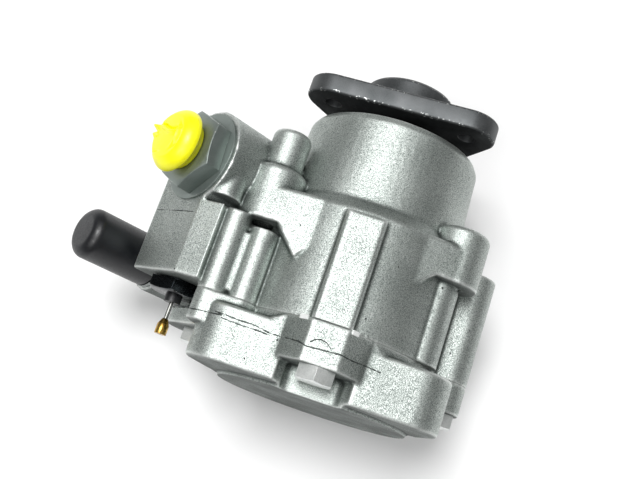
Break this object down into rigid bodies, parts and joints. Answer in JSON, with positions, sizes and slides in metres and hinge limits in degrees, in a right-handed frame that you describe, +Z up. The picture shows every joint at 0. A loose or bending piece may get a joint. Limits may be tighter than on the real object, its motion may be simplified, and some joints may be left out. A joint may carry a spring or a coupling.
{
  "type": "power steering pump",
  "caption": "Vane pump for power steering with cast housing, rear cover, three-lobed drive flange, outlet union and suction pipe.",
  "frame": {"origin": "on the shaft axis, in the round rear pad of the cover", "axes": "+Y along the shaft towards the drive flange, +Z up as the pump lies on its side on a floor, +X to the right seen from behind the cover"},
  "size_m": [0.1669, 0.1356, 0.1025],
  "materials": {
    "cast_aluminium": "as cast, blasted, fine grain",
    "steel": "machined",
    "flange_steel": "oiled dark steel with worn edges",
    "zinc_steel": "zinc plated, dulled",
    "dark_steel": "dark plated",
    "sintered_steel": "sintered",
    "ball_steel": "polished",
    "seal_rubber": "matt",
    "cap_black": "satin",
    "plug_yellow": "moulded",
    "insulator": "moulded",
    "brass": "bare",
    "cage_brass": "pressed",
    "bush_bronze": "bare"
  },
  "bodies": {
    "housing": {"front_housing": "cast_aluminium", "rear_cover": "cast_aluminium", "cover_screw_front": "steel", "cover_screw_left": "steel", "cover_screw_right": "steel", "cover_screw_lower": "steel", "cover_seal": "seal_rubber", "rear_bush": "bush_bronze", "cam_ring": "sintered_steel", "rear_port_plate": "sintered_steel", "front_port_plate": "sintered_steel", "plate_seal": "seal_rubber", "plate_spring": "steel", "dowel_pins": "steel", "bearing_outer_ring": "steel", "bearing_snap_ring": "steel", "shaft_seal": "seal_rubber", "seal_garter": "steel", "outlet_union": "zinc_steel", "union_washer": "zinc_steel", "outlet_plug": "plug_yellow", "valve_spring": "steel", "suction_pipe": "zinc_steel", "suction_cap": "cap_black", "switch_body": "dark_steel", "switch_washer": "zinc_steel", "switch_insulator": "insulator", "switch_stud": "steel", "brass_terminal": "brass"},
    "shaft": {"drive_shaft": "steel", "drive_flange": "flange_steel", "rotor": "sintered_steel", "vanes": "steel", "rotor_ring": "steel", "bearing_inner_ring": "steel"},
    "bearing_cage_set": {"bearing_balls": "ball_steel", "bearing_cage": "cage_brass"},
    "valve_spool_set": {"valve_spool": "steel", "relief_seat": "steel", "relief_spring": "steel"},
    "relief_ball_body": {"relief_ball": "ball_steel"}
  },
  "joints": [
    {"name": "shaft_spin", "type": "hinge", "parent": "housing", "child": "shaft", "pos_m": [0, 0.08, 0], "axis": [0, 1, 0], "continuous": true},
    {"name": "bearing_cage_spin", "type": "hinge", "parent": "housing", "child": "bearing_cage_set", "pos_m": [0, 0.0926, 0], "axis": [0, 1, 0], "continuous": true},
    {"name": "valve_spool_slide", "type": "slide", "parent": "housing", "child": "valve_spool_set", "axis": [0.7193, 0, -0.6947], "range_m": [0, 0.006], "stiffness_N_per_m": 900, "springref_m": -0.006, "deforming": ["valve_spring"]},
    {"name": "relief_ball_slide", "type": "slide", "parent": "valve_spool_set", "child": "relief_ball_body", "axis": [-0.7193, 0, 0.6947], "range_m": [0, 0.001], "stiffness_N_per_m": 400, "springref_m": -0.002, "deforming": ["relief_spring"]}
  ],
  "couplings": [
    {"joint": "bearing_cage_spin", "follows": "shaft_spin", "ratio": 0.3842}
  ]
}
